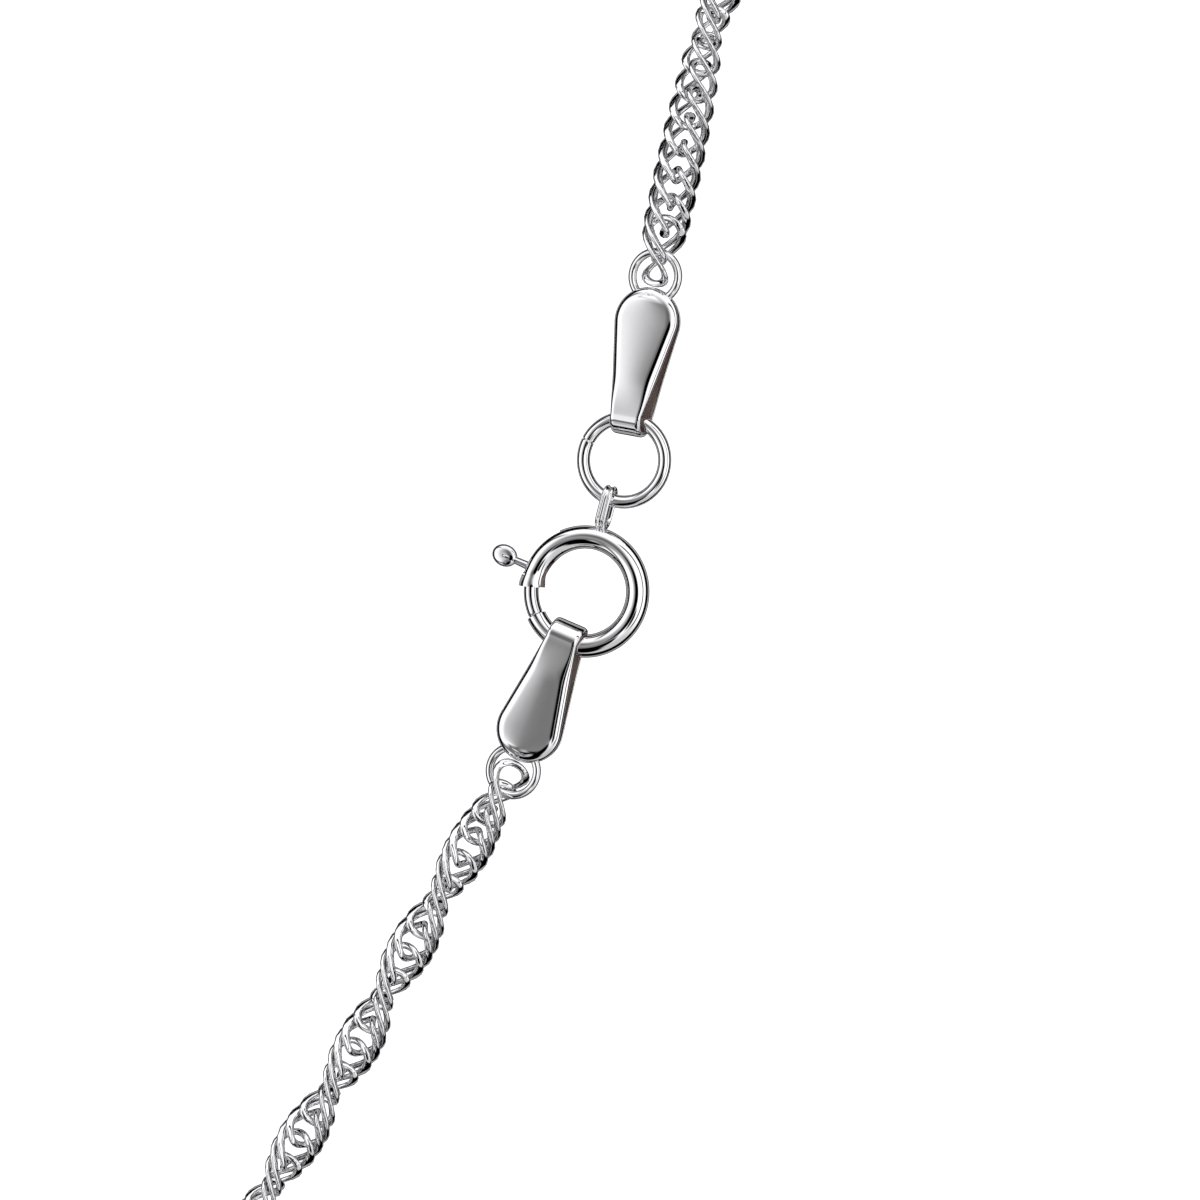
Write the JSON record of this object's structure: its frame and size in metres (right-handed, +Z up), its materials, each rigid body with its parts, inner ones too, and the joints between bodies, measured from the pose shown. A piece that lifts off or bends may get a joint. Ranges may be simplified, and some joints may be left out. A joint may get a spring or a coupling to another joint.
{
  "type": "singapore chain necklace",
  "caption": "Twisted singapore neck chain laid in an open loop, closed by folded end tags, a jump ring and a spring ring clasp with a sliding bolt.",
  "frame": {"origin": "middle of the laid loop's bounding box, on the surface that the necklace lies on", "axes": "+Z up from the surface, +Y towards the far end of the loop as the picture's top, +X to the picture's right, on the side of the loop where the clasp lies"},
  "size_m": [0.1328, 0.1574, 0.0022],
  "materials": {
    "clasp_silver": "polished rhodium plated silver",
    "bolt_steel": "polished plated spring steel",
    "tag_silver": "polished rhodium plated silver sheet",
    "chain_silver": "polished, diamond cut rhodium plated silver wire"
  },
  "bodies": {
    "necklace": {"clasp_body": "clasp_silver", "jump_ring": "clasp_silver", "upper_tag": "tag_silver", "lower_tag": "tag_silver", "upper_chain": "chain_silver", "lower_chain": "chain_silver", "chain_run": "chain_silver"},
    "bolt": {"clasp_bolt": "bolt_steel"}
  },
  "joints": [
    {"name": "bolt_slide", "type": "hinge", "parent": "necklace", "child": "bolt", "pos_m": [0.0564, -0.0188, 0.0011], "axis": [0, 0, -1], "range_deg": [0, 37], "stiffness_Nm_per_rad": 0.0005}
  ]
}
